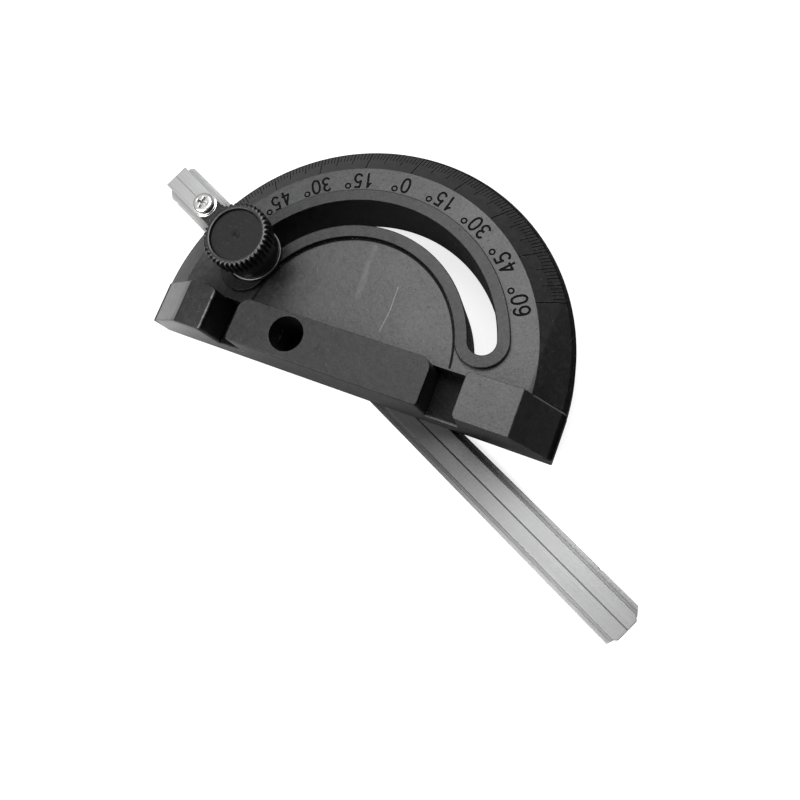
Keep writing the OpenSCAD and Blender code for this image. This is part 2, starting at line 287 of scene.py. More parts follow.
# ------------------------------------------------------------------ materials
class Nodes:
    """A small helper to write node trees in few lines."""

    def __init__(self, name):
        self.mat = bpy.data.materials.new(name)
        self.mat.use_nodes = True
        self.t = self.mat.node_tree
        self.t.nodes.clear()
        self.out = self.t.nodes.new("ShaderNodeOutputMaterial")
        self.p = self.t.nodes.new("ShaderNodeBsdfPrincipled")
        self.t.links.new(self.p.outputs[0], self.out.inputs[0])

    def node(self, kind, inputs=None, **props):
        n = self.t.nodes.new(kind)
        for k, v in props.items():
            setattr(n, k, v)
        for k, v in (inputs or {}).items():
            self.put(n.inputs[k], v)
        return n

    def put(self, sock, v):
        if isinstance(v, bpy.types.NodeSocket):
            self.t.links.new(v, sock)
        elif isinstance(v, bpy.types.Node):
            self.t.links.new(v.outputs[0], sock)
        else:
            if hasattr(sock.default_value, "__len__") and not hasattr(v, "__len__"):
                v = (v, v, v, 1.0) if len(sock.default_value) == 4 else (v, v, v)
            elif hasattr(sock.default_value, "__len__") and len(sock.default_value) == 4 and len(v) == 3:
                v = (*v, 1.0)
            sock.default_value = v

    def math(self, op, a, b=0.0, clamp=False):
        n = self.node("ShaderNodeMath", {0: a, 1: b}, operation=op)
        n.use_clamp = clamp
        return n.outputs[0]

    def ramp(self, v, lo, hi, a=0.0, b=1.0):
        n = self.node("ShaderNodeMapRange", {"Value": v, "From Min": lo, "From Max": hi, "To Min": a, "To Max": b})
        n.clamp = True
        n.interpolation_type = "SMOOTHSTEP"
        return n.outputs[0]

    def mix(self, f, a, b):
        n = self.node("ShaderNodeMix", data_type="RGBA")
        self.put(n.inputs[0], f)
        self.put(n.inputs[6], a)
        self.put(n.inputs[7], b)
        return n.outputs[2]

    def mixf(self, f, a, b):
        n = self.node("ShaderNodeMix", data_type="FLOAT")
        self.put(n.inputs[0], f)
        self.put(n.inputs[2], a)
        self.put(n.inputs[3], b)
        return n.outputs[0]

    def coord(self, scale=(1, 1, 1), rot=(0, 0, 0), loc=(0, 0, 0)):
        """Object coordinates in millimetres."""
        tc = self.node("ShaderNodeTexCoord")
        return self.node("ShaderNodeMapping", {"Vector": tc.outputs["Object"], "Scale": tuple(1000 * s for s in scale), "Rotation": rot, "Location": loc}).outputs[0]

    def noise(self, vec, scale, detail=4, rough=0.5, dist=0.0):
        return self.node("ShaderNodeTexNoise", {"Vector": vec, "Scale": scale, "Detail": detail, "Roughness": rough, "Distortion": dist}).outputs[0]

    def bump(self, h, strength, dist, normal=None):
        n = self.node("ShaderNodeBump", {"Height": h, "Strength": strength, "Distance": dist * S})
        if normal is not None:
            self.put(n.inputs["Normal"], normal)
        return n.outputs[0]

    def edge(self, radius, lo=0.02, hi=0.25):
        """1 near a convex or concave edge, 0 on the flats."""
        b = self.node("ShaderNodeBevel", {"Radius": radius * S}, samples=4)
        g = self.node("ShaderNodeNewGeometry")
        d = self.node("ShaderNodeVectorMath", {0: b.outputs[0], 1: g.outputs["True Normal"]}, operation="DOT_PRODUCT")
        return self.ramp(self.math("SUBTRACT", 1.0, d.outputs["Value"]), lo, hi)

    def segment(self, a, b, width):
        """1 on the line from a to b in the row frame (mm, x and y only), fading to 0 at width."""
        tc = self.node("ShaderNodeTexCoord")
        v = self.node("ShaderNodeVectorMath", {0: tc.outputs["Object"], 1: (1000, 1000, 0)}, operation="MULTIPLY").outputs[0]
        pa = self.node("ShaderNodeVectorMath", {0: v, 1: (a[0], a[1], 0)}, operation="SUBTRACT").outputs[0]
        ba = Vector((b[0] - a[0], b[1] - a[1], 0))
        dot = self.node("ShaderNodeVectorMath", {0: pa, 1: tuple(ba)}, operation="DOT_PRODUCT").outputs["Value"]
        h = self.math("DIVIDE", dot, ba.length_squared, clamp=True)
        h.node.use_clamp = True
        near = self.node("ShaderNodeVectorMath", {0: tuple(ba), "Scale": h}, operation="SCALE").outputs[0]
        d = self.node("ShaderNodeVectorMath", {0: pa, 1: near}, operation="DISTANCE").outputs["Value"]
        return self.ramp(d, 0.0, width, 1.0, 0.0)


def mat_head():
    m = Nodes("head_plastic")
    v = m.coord()
    pos = m.node("ShaderNodeTexCoord").outputs["Object"]
    along = m.node("ShaderNodeVectorMath", {0: pos, 1: (math.cos(REST), math.sin(REST), 0.0)}, operation="DOT_PRODUCT").outputs["Value"]
    across = m.node("ShaderNodeVectorMath", {0: pos, 1: (-math.sin(REST), math.cos(REST), 0.0)}, operation="DOT_PRODUCT").outputs["Value"]
    height = m.node("ShaderNodeVectorMath", {0: pos, 1: (0.0, 0.0, 1.0)}, operation="DOT_PRODUCT").outputs["Value"]
    big = m.noise(v, 0.05, 3, 0.55)                  # slow changes over centimetres
    mid = m.noise(v, 0.35, 5, 0.6, 0.4)
    fine = m.noise(v, 2.6, 6, 0.65)
    grain = m.noise(v, 9.0, 3, 0.6)
    # rubbed streaks in two directions
    st1 = m.noise(m.coord((0.05, 1.3, 0.4), rot=(0, 0, 0.35)), 1.0, 3, 0.6)
    st2 = m.noise(m.coord((1.1, 0.04, 0.4), rot=(0, 0, -0.2)), 1.0, 3, 0.6)
    streak = m.math("ADD", m.ramp(st1, 0.58, 0.72), m.ramp(st2, 0.6, 0.74), clamp=True)
    scuff = m.math("MULTIPLY", m.ramp(mid, 0.5, 0.66), m.ramp(fine, 0.45, 0.7))
    tone = m.math("ADD", m.math("MULTIPLY", big, 0.003), m.math("MULTIPLY", mid, 0.003))
    tone = m.math("ADD", tone, m.math("MULTIPLY", grain, 0.002))
    tone = m.math("ADD", tone, m.math("MULTIPLY", streak, 0.006))
    tone = m.math("ADD", tone, m.math("MULTIPLY", scuff, 0.010))
    tone = m.math("ADD", tone, 0.0015)
    # worn edges and specks
    edge = m.edge(0.45)
    wear = m.math("MULTIPLY", edge, m.ramp(m.noise(v, 0.8, 5, 0.7), 0.52, 0.66))
    speck = m.ramp(m.noise(v, 3.1, 2, 0.4), 0.735, 0.77)
    marks = m.math("MAXIMUM", m.segment((-0.1, 27.6), (3.9, 19.8), 0.36), m.segment((3.9, 19.8), (6.8, 11.7), 0.36))
    smear = m.math("MAXIMUM", m.segment((-17.3, 32.8), (-15.6, 28.4), 1.3), m.segment((-15.6, 28.4), (-8.6, 15.6), 1.9))
    smear = m.math("MULTIPLY", smear, m.ramp(m.noise(m.coord((1.0, 0.25, 1.0), rot=(0, 0, -0.5)), 0.9, 4, 0.6), 0.35, 0.65, 0.15, 0.42))
    marks = m.math("MAXIMUM", marks, smear)
    m.marks = marks
    lift = m.math("ADD", m.math("MULTIPLY", wear, 0.16), m.math("MULTIPLY", speck, 0.14))
    lift = m.math("ADD", lift, m.math("MULTIPLY", marks, 0.09))
    tone = m.math("ADD", tone, lift)
    # painted highlight: a thin light line along the back top edge of the right end, where that edge catches the light
    back = m.math("MULTIPLY", m.ramp(across, (FB - 0.65) * S, (FB - 0.40) * S), m.math("MULTIPLY", m.ramp(across, (FB + 0.02) * S, (FB + 0.10) * S, 1.0, 0.0), m.ramp(along, 68.2 * S, 69.2 * S)))
    pad = m.math("MULTIPLY", m.ramp(along, -49.75 * S, -49.45 * S), m.math("MULTIPLY", m.ramp(along, -48.8 * S, -48.6 * S, 1.0, 0.0), m.ramp(height, (ZP - 0.9) * S, (ZP - 0.5) * S)))
    pad = m.math("MULTIPLY", pad, m.ramp(m.noise(v, 0.5, 4, 0.6), 0.38, 0.60, 0.25, 1.0))
    tone = m.math("ADD", tone, m.math("ADD", m.math("MULTIPLY", back, 0.085), m.math("MULTIPLY", pad, 0.13)))
    col = m.node("ShaderNodeCombineColor", {"Red": m.math("MULTIPLY", tone, 0.985), "Green": m.math("MULTIPLY", tone, 0.995), "Blue": m.math("MULTIPLY", tone, 1.015)})
    m.put(m.p.inputs["Base Color"], col.outputs[0])
    rough = m.math("ADD", m.math("MULTIPLY", mid, 0.16), 0.33)
    rough = m.math("ADD", rough, m.math("MULTIPLY", scuff, 0.14))
    rough = m.math("ADD", rough, m.math("MULTIPLY", streak, 0.05))
    m.put(m.p.inputs["Roughness"], rough)
    # gloss differs by region: tops of the left and middle blocks are duller; the pocket floors lose almost all gloss,
    # painted shade for the deep shadow in the pockets
    raised = m.math("MULTIPLY", m.ramp(height, (ZT + 5) * S, (ZT + 8) * S), m.ramp(along, 0.037, 0.045, 1.0, 0.0))
    sunk = m.math("MULTIPLY", m.ramp(height, (ZF + 0.4) * S, (ZF + 2.5) * S, 1.0, 0.0), m.ramp(across, (FB + 0.2) * S, (FB + 1.0) * S, 1.0, 0.0))
    sunk = m.math("MULTIPLY", sunk, m.ramp(across, (0.3 - FY) * S, (1.0 - FY) * S))
    gloss = m.math("MULTIPLY", m.math("SUBTRACT", 1.0, m.math("MULTIPLY", raised, 0.50)), m.math("SUBTRACT", 1.0, m.math("MULTIPLY", sunk, 0.92)))
    # painted shade: the outer edge and the corner between disc and rim lose their gloss, so they read as dark lines;
    # painted highlight: the left slope is made glossier, so it reads bright
    flat = m.node("ShaderNodeVectorMath", {0: m.node("ShaderNodeVectorMath", {0: pos, 1: (1.0, 1.0, 0.0)}, operation="MULTIPLY").outputs[0]}, operation="LENGTH").outputs["Value"]
    low = m.ramp(height, (ZO + 0.3) * S, (ZO + 0.9) * S, 1.0, 0.0)
    lip = m.math("MULTIPLY", m.ramp(flat, (HR - 0.75) * S, (HR - 0.5) * S), m.math("MULTIPLY", low, m.ramp(height, (ZO - 3.0) * S, (ZO - 2.4) * S)))
    gin = (SLOT - SLW - 4.5) * S
    groove = m.math("MULTIPLY", m.ramp(flat, gin - 0.95 * S, gin - 0.70 * S), m.ramp(flat, gin + 0.02 * S, gin + 0.12 * S, 1.0, 0.0))
    groove = m.math("MULTIPLY", groove, m.math("MULTIPLY", m.ramp(across, (FB + 0.1) * S, (FB + 0.8) * S), m.ramp(height, (ZT + 3) * S, (ZT + 4) * S, 1.0, 0.0)))
    gloss = m.math("MULTIPLY", gloss, m.math("SUBTRACT", 1.0, m.math("MULTIPLY", m.math("MAXIMUM", lip, groove), 0.94)))
    slope = m.math("MULTIPLY", m.ramp(along, -60.4 * S, -59.7 * S, 1.0, 0.0), m.ramp(height, (ZO + 0.5) * S, (ZO + 2.0) * S))
    slope = m.math("MULTIPLY", slope, m.math("MULTIPLY", m.ramp(across, (0.5 - FY) * S, (1.0 - FY) * S), m.ramp(across, (FB - 0.6) * S, (FB - 0.1) * S, 1.0, 0.0)))
    gloss = m.math("MULTIPLY", gloss, m.math("ADD", 1.0, m.math("MULTIPLY", slope, 0.95)))
    # painted shade: the plate loses gloss round its left corner, for the knob's shadow and dark reflection there, and
    # the right slope is made duller where it lies in shade; the rim's top is made duller too
    plan = m.node("ShaderNodeCombineXYZ", {"X": along, "Y": across, "Z": 0.0}).outputs[0]
    corner = m.node("ShaderNodeVectorMath", {0: plan, 1: (-47.0 * S, 3.0 * S, 0.0)}, operation="DISTANCE").outputs["Value"]
    plate = m.math("MULTIPLY", m.ramp(height, (ZT + 3) * S, (ZT + 4) * S, 1.0, 0.0), m.ramp(across, (FB - 0.1) * S, (FB + 0.1) * S))
    gloss = m.math("MULTIPLY", gloss, m.math("SUBTRACT", 1.0, m.math("MULTIPLY", plate, m.ramp(corner, 0.0, 0.038, 0.78, 0.05))))
    crest = m.math("MULTIPLY", plate, m.ramp(height, (ZT + 1.1) * S, (ZT + 1.7) * S))
    gloss = m.math("MULTIPLY", gloss, m.math("SUBTRACT", 1.0, m.math("MULTIPLY", crest, 0.34)))
    gloss = m.math("MULTIPLY", gloss, m.ramp(along, 0.0656, 0.0668, 1.0, 0.58))
    # mottled sheen, with small dull pits
    spec = m.math("ADD", m.math("MULTIPLY", mid, 0.42), m.math("MULTIPLY", big, 0.20))
    spec = m.math("ADD", spec, m.math("MULTIPLY", m.noise(v, 1.15, 4, 0.6, 0.3), 0.46))
    dots = m.ramp(m.noise(v, 0.85, 3, 0.5), 0.31, 0.25, 0.0, 0.55)
    gloss = m.math("MULTIPLY", gloss, m.math("SUBTRACT", 1.0, dots))
    m.put(m.p.inputs["Specular IOR Level"], m.math("MULTIPLY", m.math("ADD", spec, 0.08), gloss))
    h = m.math("ADD", m.math("MULTIPLY", fine, 0.5), m.math("MULTIPLY", grain, 0.35))
    n1 = m.bump(h, 0.35, 0.10)
    n2 = m.bump(mid, 0.30, 0.35, n1)
    pits = m.ramp(m.noise(v, 1.7, 2, 0.5), 0.30, 0.24)
    n3 = m.bump(pits, 0.5, -0.12, n2)
    n4 = m.bump(marks, 0.4, 0.06, n3)
    m.put(m.p.inputs["Normal"], n4)
    return m.mat


def mat_engrave():
    # dark, dull floor for the engraved ticks and numerals: painted shade in the grooves
    m = Nodes("engraved_painted_shade")
    v = m.coord()
    n = m.noise(v, 3.0, 4, 0.6)
    m.put(m.p.inputs["Base Color"], m.mix(n, (0.001, 0.001, 0.001), (0.005, 0.005, 0.005)))
    m.put(m.p.inputs["Roughness"], m.math("ADD", m.math("MULTIPLY", n, 0.2), 0.6))
    m.put(m.p.inputs["Specular IOR Level"], 0.06)
    m.put(m.p.inputs["Normal"], m.bump(n, 0.3, 0.05))
    return m.mat


def mat_knob():
    m = Nodes("knob_plastic")
    v = m.coord()
    fine = m.noise(v, 4.0, 5, 0.6)
    mid = m.noise(v, 0.6, 4, 0.6)
    edge = m.edge(0.25)
    wear = m.math("MULTIPLY", edge, m.ramp(mid, 0.45, 0.65))
    tone = m.math("ADD", m.math("MULTIPLY", mid, 0.005), 0.003)
    tone = m.math("ADD", tone, m.math("MULTIPLY", wear, 0.05))
    m.put(m.p.inputs["Base Color"], m.node("ShaderNodeCombineColor", {"Red": tone, "Green": tone, "Blue": m.math("MULTIPLY", tone, 1.03)}).outputs[0])
    m.put(m.p.inputs["Roughness"], m.math("ADD", m.math("MULTIPLY", fine, 0.16), 0.20))
    m.put(m.p.inputs["Specular IOR Level"], 0.55)
    m.put(m.p.inputs["Normal"], m.bump(fine, 0.22, 0.06))
    return m.mat


def mat_cap():
    m = Nodes("cap_plastic")
    v = m.coord()
    fine = m.noise(v, 6.0, 5, 0.65)
    mid = m.noise(v, 0.5, 5, 0.65, 0.6)
    st = m.ramp(m.noise(m.coord((0.12, 1.6, 0.5), rot=(0, 0, -0.9)), 1.0, 3, 0.6), 0.62, 0.76)
    speck = m.ramp(m.noise(v, 2.2, 2, 0.4), 0.71, 0.75)
    tone = m.math("ADD", m.math("MULTIPLY", mid, 0.012), 0.004)
    tone = m.math("ADD", tone, m.math("MULTIPLY", st, 0.012))
    tone = m.math("ADD", tone, m.math("MULTIPLY", speck, 0.10))
    m.put(m.p.inputs["Base Color"], m.node("ShaderNodeCombineColor", {"Red": tone, "Green": tone, "Blue": m.math("MULTIPLY", tone, 1.02)}).outputs[0])
    m.put(m.p.inputs["Roughness"], m.math("ADD", m.math("MULTIPLY", mid, 0.2), 0.42))
    m.put(m.p.inputs["Specular IOR Level"], 0.15)
    n1 = m.bump(fine, 0.25, 0.06)
    m.put(m.p.inputs["Normal"], m.bump(mid, 0.3, 0.25, n1))
    return m.mat


def mat_bar():
    m = Nodes("bar_aluminium")
    lines = m.noise(m.coord((0.012, 2.6, 2.6)), 1.0, 5, 0.65)
    fine = m.noise(m.coord((0.03, 9.0, 9.0)), 1.0, 3, 0.6)
    v = m.coord()
    blotch = m.noise(v, 0.09, 4, 0.55)
    dirt = m.ramp(m.noise(v, 0.6, 6, 0.7), 0.62, 0.8)
    edge = m.edge(0.3)
    base = m.mix(lines, (0.25, 0.252, 0.254), (0.36, 0.36, 0.36))
    base = m.mix(m.math("MULTIPLY", m.ramp(blotch, 0.35, 0.7), 0.35), base, (0.28, 0.28, 0.278))
    base = m.mix(m.math("MULTIPLY", dirt, 0.30), base, (0.16, 0.16, 0.158))
    base = m.mix(m.math("MULTIPLY", edge, 0.35), base, (0.72, 0.72, 0.72))
    # painted shade and light: the base colour is scaled far down along the stretch near the head, for the head's shadow
    # and dark reflection on the bar, and up away from it, most at the stub, where the bar catches the light; one flange
    # beside the head is darkened further, painted shade as well
    px = m.node("ShaderNodeVectorMath", {0: m.node("ShaderNodeTexCoord").outputs["Object"], 1: (1.0, 0.0, 0.0)}, operation="DOT_PRODUCT").outputs["Value"]
    k = m.math("MULTIPLY", m.ramp(px, -0.100, -0.082, 2.6, 0.21), m.ramp(px, 0.040, 0.110, 0.62, 4.45))
    py = m.node("ShaderNodeVectorMath", {0: m.node("ShaderNodeTexCoord").outputs["Object"], 1: (0.0, 1.0, 0.0)}, operation="DOT_PRODUCT").outputs["Value"]
    k = m.math("MULTIPLY", k, m.math("SUBTRACT", 1.0, m.math("MULTIPLY", m.ramp(py, 0.0054, 0.0058), m.math("MULTIPLY", m.ramp(px, -0.02, 0.01), m.ramp(px, 0.055, 0.105, 0.66, 0.0)))))
    sc = m.node("ShaderNodeVectorMath", {0: base, "Scale": k}, operation="SCALE").outputs[0]
    m.put(m.p.inputs["Base Color"], sc)
    m.put(m.p.inputs["Metallic"], 0.92)
    r = m.math("ADD", m.math("MULTIPLY", lines, 0.14), 0.30)
    m.put(m.p.inputs["Roughness"], m.math("ADD", r, m.math("MULTIPLY", dirt, 0.12)))
    m.put(m.p.inputs["Anisotropic"], 0.55)
    tan = m.node("ShaderNodeTangent", direction_type="RADIAL", axis="X")
    m.put(m.p.inputs["Tangent"], tan.outputs[0])
    h = m.math("ADD", m.math("MULTIPLY", lines, 0.7), m.math("MULTIPLY", fine, 0.4))
    m.put(m.p.inputs["Normal"], m.bump(h, 0.25, 0.06))
    return m.mat


def mat_metal(name, lo, hi, rough=0.22, metal=1.0, scale=1.2, bump=0.12, aniso=0.0):
    m = Nodes(name)
    v = m.coord()
    n = m.noise(v, scale, 5, 0.6)
    f = m.noise(v, scale * 6, 4, 0.6)
    edge = m.edge(0.2)
    base = m.mix(n, lo, hi)
    base = m.mix(m.math("MULTIPLY", m.ramp(f, 0.6, 0.8), 0.25), base, tuple(x * 0.45 for x in lo))
    base = m.mix(m.math("MULTIPLY", edge, 0.3), base, tuple(min(1.0, x * 1.12) for x in hi))
    m.put(m.p.inputs["Base Color"], base)
    m.put(m.p.inputs["Metallic"], metal)
    m.put(m.p.inputs["Roughness"], m.math("ADD", m.math("MULTIPLY", f, 0.16), rough))
    m.put(m.p.inputs["Anisotropic"], aniso)
    m.put(m.p.inputs["Normal"], m.bump(f, bump, 0.05))
    return m.mat


def mat_plain_plastic(name, lo, hi, rough=0.4, spec=0.5):
    m = Nodes(name)
    v = m.coord()
    n = m.noise(v, 0.6, 5, 0.65)
    f = m.noise(v, 5.0, 4, 0.6)
    edge = m.math("MULTIPLY", m.edge(0.3), m.ramp(n, 0.45, 0.65))
    base = m.mix(n, lo, hi)
    base = m.mix(m.math("MULTIPLY", edge, 0.5), base, tuple(min(1.0, x * 2.2 + 0.02) for x in hi))
    m.put(m.p.inputs["Base Color"], base)
    m.put(m.p.inputs["Roughness"], m.math("ADD", m.math("MULTIPLY", f, 0.18), rough))
    m.put(m.p.inputs["Specular IOR Level"], spec)
    m.put(m.p.inputs["Normal"], m.bump(f, 0.25, 0.07))
    return m.mat


M_HEAD = mat_head()
M_ENG = mat_engrave()
M_KNOB = mat_knob()
M_CAP = mat_cap()
M_BAR = mat_bar()
M_ZINC = mat_metal("zinc_steel", (0.62, 0.62, 0.61), (0.83, 0.83, 0.82), 0.12)
M_WASH = mat_metal("washer_steel", (0.055, 0.055, 0.056), (0.11, 0.11, 0.11), 0.24)
M_BRASS = mat_metal("insert_brass", (0.56, 0.40, 0.16), (0.74, 0.56, 0.27), 0.24)
M_BLACK = mat_metal("black_steel", (0.035, 0.035, 0.036), (0.06, 0.06, 0.06), 0.32, 0.6)
M_NYLON = mat_plain_plastic("nylon", (0.72, 0.71, 0.66), (0.84, 0.83, 0.79), 0.38)
M_POINT = mat_plain_plastic("pointer_plastic", (0.004, 0.004, 0.004), (0.010, 0.010, 0.010), 0.36, 0.24)


def finish_piece(o, name, body, mat, nodes, extra=()):
    o.name = name
    o.data.name = name
    if not o.data.materials:
        o.data.materials.append(mat)
        for m in extra:
            o.data.materials.append(m)
    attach(o, body)
    if nodes:
        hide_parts(*nodes)
    return o


# ------------------------------------------------------------------ protractor head
def build_head():
    # half-round plate with the graduated bevel, softened at its edges
    lift = 0.02                                     # keeps faces that meet from lying in one plane
    prof = rounded([(60, Z0 + lift), (EX, Z0 + lift), (EX, ZO - LH), (HR, ZO), (SR, ZT), (60, ZT)], [0, 0.5, 0.6, 0.45, 0.35, 0], n=3)[1:-1]
    plate = obj_from_bm(loft([[(r * math.cos(math.pi * i / 200), r * math.sin(math.pi * i / 200), z) for i in range(201)] for r, z in prof]), "plate")
    wall = 3.0
    # slot clearance, inside the sleeve that forms the slot's walls
    boolean(plate, obj_from_bm(prism(racetrack(6.4), Z0 - 5, ZT + 9), "c"))
    # pockets beside the main block
    for x1, x2 in ((-52.0, -36.0), (32.5, 49.5)):
        boolean(plate, obj_from_bm(boxm(x1, x2, -30, FB - 0.05, ZF - lift, ZT + 20), "c"))
    s1, s2 = SLOT - SLW, SLOT + SLW
    zc = ZT - wall
    ob = HR - wall
    for i in range(6):
        a = 9 + i * 27.2
        c = sector([(s2 + wall - 0.2, Z0 - 1), (ob, Z0 - 1), (ob, ZO - wall - 0.4), (SR - 1.5, zc), (s2 + wall - 0.2, zc)], a, a + 25, 26)
        boolean(plate, obj_from_bm(c, "c"))
    for i in range(4):
        a = 20 + i * 35.6
        c = sector([(12, Z0 - 1), (s1 - wall + 0.2, Z0 - 1), (s1 - wall + 0.2, zc), (12, zc)], a, a + 33, 30)
        boolean(plate, obj_from_bm(c, "c"))
    # sleeve and raised rim round the slot, with softened edges
    zs = Z0 + lift / 2
    ring = rounded([(SLW, zs), (SLW, ZT + RIM), (SLW + 4.5, ZT + RIM), (SLW + 4.5, ZT - 1.0), (SLW + 3, ZT - 1.0), (SLW + 3, zs)],
                   [0.25, 0.45, 0.45, 0, 0, 0.25], n=3)
    loops = [[(x, y, z) for x, y in racetrack(w)] for w, z in ring]
    sleeve = obj_from_bm(loft(loops, close=True), "sleeve")
    boolean(plate, sleeve, "UNION")
    # fence: one long wall with raised blocks, open pockets between them, sloped ends
    L1, L2, M1, M2, R1, R2 = -59.6, -48.9, -38.2, 34.9, 46.8, 66.0
    fe = EX + lift
    ze = ZP - (EX + L1) * (ZP - ZO) / (HR + L1)
    bm = prism_y([(-fe, Z0), (fe, Z0), (fe, ZO - LH), (HR + lift, ZO), (R2, ZP), (R1, ZP), (R1, ZF), (M2, ZF), (M2, ZP),
                  (M1, ZP), (M1, ZF), (L2, ZF), (L2, ZP), (L1, ZP), (-fe, ze)], -FY, FB)

    def vertical(x, y):
        return lambda a, b: abs(a.x - x) < 1e-3 and abs(b.x - x) < 1e-3 and abs(a.y - y) < 1e-3 and abs(b.y - y) < 1e-3 and abs(a.z - b.z) > 5
    for x, rf, rb in ((L2, 1.2, 2.0), (M1, 1.2, 4.0), (M2, 1.2, 4.0), (R1, 2.0, 2.0)):
        bevel(bm, select_edges(bm, vertical(x, -FY)), rf, 3)
        bevel(bm, select_edges(bm, vertical(x, FB)), rb, 6)
    # soften every remaining outer edge
    bevel(bm, select_edges(bm, lambda a, b: (a.z + b.z) / 2 > ZF + 0.5 or (a.y + b.y) / 2 < 1 - FY, 30), 0.4, 2)
    fence = obj_from_bm(bm, "fence")
    boolean(plate, fence, "UNION")
    # long cavity behind the fence face, between ribs
    spans = []
    ribs = [-66, -43.5, 21, 41, 70]
    edges = [-HR + wall] + [e for r in ribs for e in (r - 1.25, r + 1.25)] + [HR - wall]
    for i in range(0, len(edges), 2):
        if edges[i + 1] - edges[i] > 2:
            spans.append((edges[i], edges[i + 1]))
    for x1, x2 in spans:
        c = obj_from_bm(boxm(x1, x2, -FY + wall, FB - 0.4, Z0 - 1, ZF - wall), "c")
        for cx, cy, r in ((0, 0, 10), (ROD[0], ROD[1], ROD[2] + 3)):
            if x1 - r < cx < x2 + r:
                boolean(c, obj_from_bm(prism(circle(cx, cy, r, 72), Z0 - 3, ZP), "d"))
        boolean(plate, c)
    for x1, x2, hole in ((ROD[0], 21 - 1.25, True), (21 + 1.25, M2 - wall, False), (R1 + wall, R2 - wall, False)):
        c = obj_from_bm(boxm(x1, x2, -FY + wall, FB - 0.4, ZF - wall - 1, ZP - wall), "c")
        if hole:
            boolean(c, obj_from_bm(prism(circle(0, 0, 10, 72), Z0 - 3, ZP + 9), "d"))
            boolean(c, obj_from_bm(prism(circle(ROD[0], ROD[1], ROD[2] + 3, 72), Z0 - 3, ZP + 9), "d"))
        boolean(plate, c)
    # socket for the rod, its mouth slightly eased
    r = ROD[2]
    c = lathe_solid([(r, ZP - ROD[3]), (r, ZP - 0.35), (r + 0.1, ZP - 0.12), (r + 0.35, ZP + 0.001), (r + 0.35, ZP + 3)], ROD[0], ROD[1], 96)
    boolean(plate, obj_from_bm(c, "c"))
    # set screw's hole, seen in the end of the main block
    turn = Matrix.Translation((0, ROD[1], ZT + 1)) @ Matrix.Rotation(math.pi / 2, 4, "Y")
    c = lathe_solid([(3.5, M1 - 2), (3.5, M1 + 7), (2.6, M1 + 7.001), (2.6, ROD[0])], 0, 0, 48)
    boolean(plate, obj_from_bm(c, "c", turn))
    # seat of the pivot insert
    boolean(plate, obj_from_bm(prism(circle(0, 0, 4.6, 64), Z0 - 1, Z0 + 16), "c"))
    tidy(plate, 0.004, 0.05)
    return plate


def engrave(head):
    head.data.materials.clear()
    head.data.materials.append(M_HEAD)
    # degree ticks along the bevel
    bm = bmesh.new()
    ex = Vector((SR - HR, 0, ZT - ZO))
    L = ex.length
    depth, half = 0.28, 0.15
    for d in range(-60, 61):
        if d % 15 == 0:
            lo, hi, hw = 0.02, 0.985, 0.19
        elif d % 5 == 0:
            lo, hi, hw = 0.02, 0.66, 0.17
        else:
            lo, hi, hw = 0.02, 0.44, half
        rot = Matrix.Rotation(math.radians(90 - d), 4, "Z")
        along = ex.normalized()
        up = Vector((-along.z, 0, along.x))
        if up.z < 0:
            up = -up
        p1 = Vector((HR, 0, ZO)) + along * (L * lo)
        p2 = Vector((HR, 0, ZO)) + along * (L * hi)
        quad = []
        for p in (p1, p2):
            for s in (-1, 1):
                for u in (-depth, 0.6):
                    quad.append(bm.verts.new(rot @ (p + Vector((0, s * hw, 0)) + up * u)))
        a = quad
        for f in ((0, 1, 3, 2), (4, 6, 7, 5), (0, 4, 5, 1), (2, 3, 7, 6), (0, 2, 6, 4), (1, 5, 7, 3)):
            bm.faces.new([a[i] for i in f])
    ticks = obj_from_bm(bm, "ticks")
    ticks.data.materials.append(M_ENG)
    boolean(head, ticks, transfer=True)
    # numbers in the band, centred on their ticks without the degree ring, tops towards the pivot
    for d in range(-60, 61, 15):
        text = str(abs(d))
        w = len(text) * GW + (len(text) - 1) * GAP
        turn = Matrix.Rotation(math.radians(90 - d), 4, "Z") @ Matrix.Translation((NUM_R, 0, ZT)) @ Matrix.Rotation(math.pi / 2, 4, "Z")
        k = 0
        for n, ch in enumerate(text + "o"):
            x = -w / 2 + n * (GW + GAP)
            for path, closed in GLYPHS[ch]:
                k += 1
                pts = [(x + u * GW, (v - 0.5) * GH) for u, v in path]
                c = obj_from_bm(stroke(pts, closed, 0.86 if ch != "o" else 0.66, -0.24 - 0.017 * (k % 4), 0.5 + 0.01 * k), "n", turn)
                c.data.materials.append(M_ENG)
                boolean(head, c, transfer=True)
    return head


NUM_R = 62.6
GW, GH, GAP = 2.75, 5.3, 1.4


def arc(cx, cy, rx, ry, a1, a2, n):
    return [(cx + rx * math.cos(math.radians(a1 + (a2 - a1) * i / n)), cy + ry * math.sin(math.radians(a1 + (a2 - a1) * i / n))) for i in range(n + 1)]


def oval(cx, cy, rx, ry, n, e=1.0):
    out = []
    for i in range(n):
        c, q = math.cos(2 * math.pi * i / n), math.sin(2 * math.pi * i / n)
        out.append((cx + rx * math.copysign(abs(c) ** e, c), cy + ry * math.copysign(abs(q) ** e, q)))
    return out


def stroke(pts, closed, width, z1, z2):
    """A band of constant width along a path, as a closed solid between two heights."""
    n = len(pts)
    P = [Vector(p) for p in pts]
    loops = []
    for i in range(n):
        a = P[i - 1] if (i > 0 or closed) else None
        b = P[(i + 1) % n] if (i < n - 1 or closed) else None
        d1 = (P[i] - a).normalized() if a is not None else (b - P[i]).normalized()
        d2 = (b - P[i]).normalized() if b is not None else d1
        n1, n2 = Vector((-d1.y, d1.x)), Vector((-d2.y, d2.x))
        m = (n1 + n2).normalized()
        m = m * (width / 2 / max(0.5, m.dot(n1)))
        loops.append([(P[i].x + m.x, P[i].y + m.y, z1), (P[i].x - m.x, P[i].y - m.y, z1), (P[i].x - m.x, P[i].y - m.y, z2), (P[i].x + m.x, P[i].y + m.y, z2)])
    return loft(loops, close=closed)


